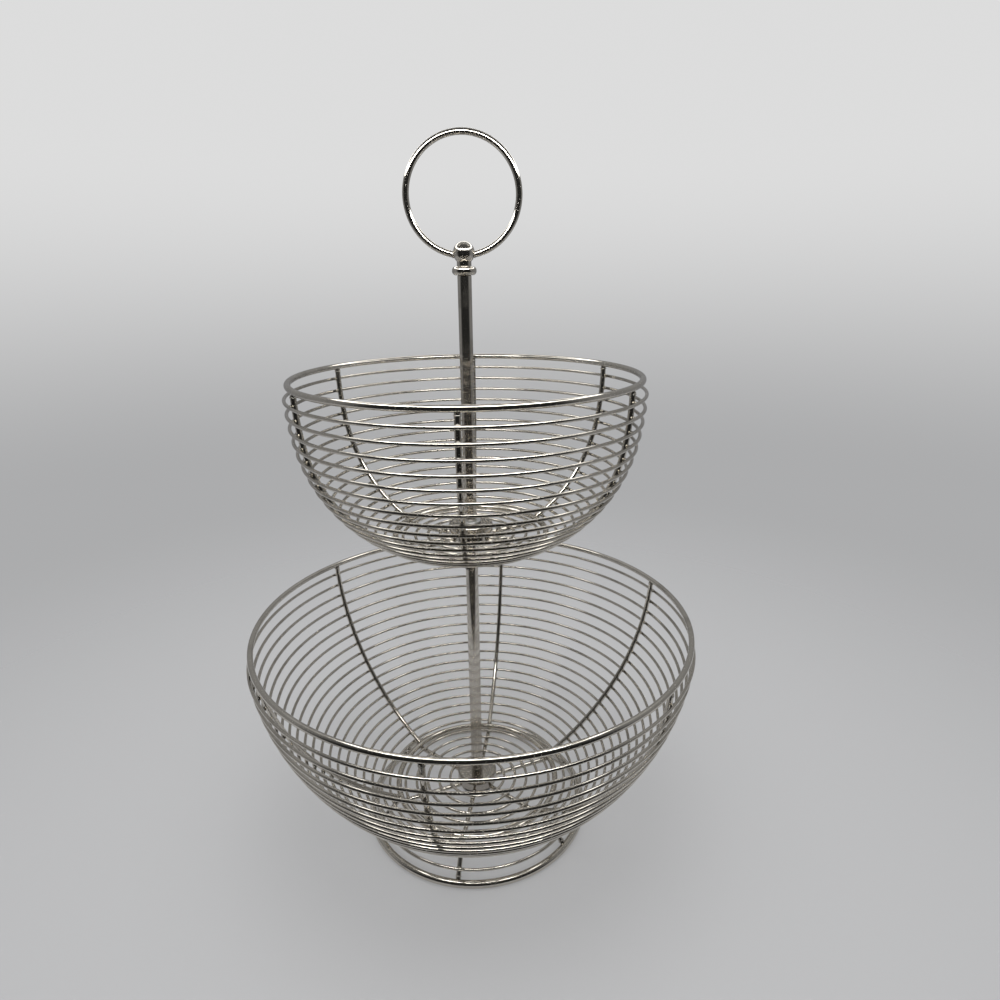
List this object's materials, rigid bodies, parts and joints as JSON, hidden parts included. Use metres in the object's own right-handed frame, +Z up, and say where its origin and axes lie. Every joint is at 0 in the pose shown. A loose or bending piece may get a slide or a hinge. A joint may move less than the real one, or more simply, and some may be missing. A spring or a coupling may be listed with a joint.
{
  "type": "tiered wire basket",
  "caption": "Tiered round wire basket: a small welded hoop-and-rib bowl above a large one on a ring foot, on a screw-together centre post with a ring handle.",
  "frame": {"origin": "on the floor under the middle of the post", "axes": "+Z up along the post, +X to the right along the plane of the ring handle, +Y to the back"},
  "size_m": [0.2863, 0.2864, 0.4392],
  "materials": {
    "plated_wire": "bright plated steel wire",
    "plated_post": "bright plated steel bar",
    "plated_hub": "plated, softly brushed",
    "fastener_steel": "zinc-plated"
  },
  "bodies": {
    "lower_tier": {"foot_ring": "plated_wire", "foot_struts": "plated_wire", "foot_hoop": "plated_wire", "lower_rim": "plated_wire", "lower_ribs": "plated_wire", "lower_base_ring": "plated_wire", "lower_floor_spokes": "plated_wire", "lower_floor_hoops": "plated_wire", "lower_hoop_01": "plated_wire", "lower_hoop_02": "plated_wire", "lower_hoop_03": "plated_wire", "lower_hoop_04": "plated_wire", "lower_hoop_05": "plated_wire", "lower_hoop_06": "plated_wire", "lower_hoop_07": "plated_wire", "lower_hoop_08": "plated_wire", "lower_hoop_09": "plated_wire", "lower_hoop_10": "plated_wire", "lower_hoop_11": "plated_wire", "lower_hoop_12": "plated_wire", "lower_hoop_13": "plated_wire", "lower_hoop_14": "plated_wire", "lower_hoop_15": "plated_wire", "lower_hoop_16": "plated_wire", "lower_hoop_17": "plated_wire", "lower_hoop_18": "plated_wire", "lower_hoop_19": "plated_wire", "lower_hoop_20": "plated_wire", "lower_hub": "plated_hub", "hub_washer": "fastener_steel", "hub_screw": "fastener_steel", "lower_post": "plated_post", "post_stud": "fastener_steel"},
    "upper_basket": {"upper_rim": "plated_wire", "upper_ribs": "plated_wire", "upper_base_ring": "plated_wire", "upper_floor_spokes": "plated_wire", "upper_floor_hoops": "plated_wire", "upper_hoop_01": "plated_wire", "upper_hoop_02": "plated_wire", "upper_hoop_03": "plated_wire", "upper_hoop_04": "plated_wire", "upper_hoop_05": "plated_wire", "upper_hoop_06": "plated_wire", "upper_hoop_07": "plated_wire", "upper_hoop_08": "plated_wire", "upper_hoop_09": "plated_wire", "upper_hoop_10": "plated_wire", "upper_hoop_11": "plated_wire", "upper_hoop_12": "plated_wire", "upper_hoop_13": "plated_wire", "upper_hoop_14": "plated_wire", "upper_hoop_15": "plated_wire", "upper_hoop_16": "plated_wire", "upper_hub": "plated_hub"},
    "clamp_washer": {"clamp_washer": "fastener_steel"},
    "handle_post": {"upper_post": "plated_post", "collar_bead": "plated_post", "finial_ball": "plated_post", "ring_handle": "plated_wire"}
  },
  "joints": [
    {"name": "upper_basket_turn", "type": "hinge", "parent": "lower_tier", "child": "upper_basket", "pos_m": [0, 0, 0.2133], "axis": [0, 0, 1], "continuous": true},
    {"name": "handle_unscrew", "type": "hinge", "parent": "lower_tier", "child": "clamp_washer", "pos_m": [0, 0, 0.2184], "axis": [0, 0, 1], "range_deg": [0, 2880]},
    {"name": "handle_rise", "type": "slide", "parent": "clamp_washer", "child": "handle_post", "axis": [0, 0, 1], "range_m": [0, 0.0064]}
  ],
  "couplings": [
    {"joint": "handle_unscrew", "follows": "handle_rise", "rad_per_m": 7854}
  ]
}
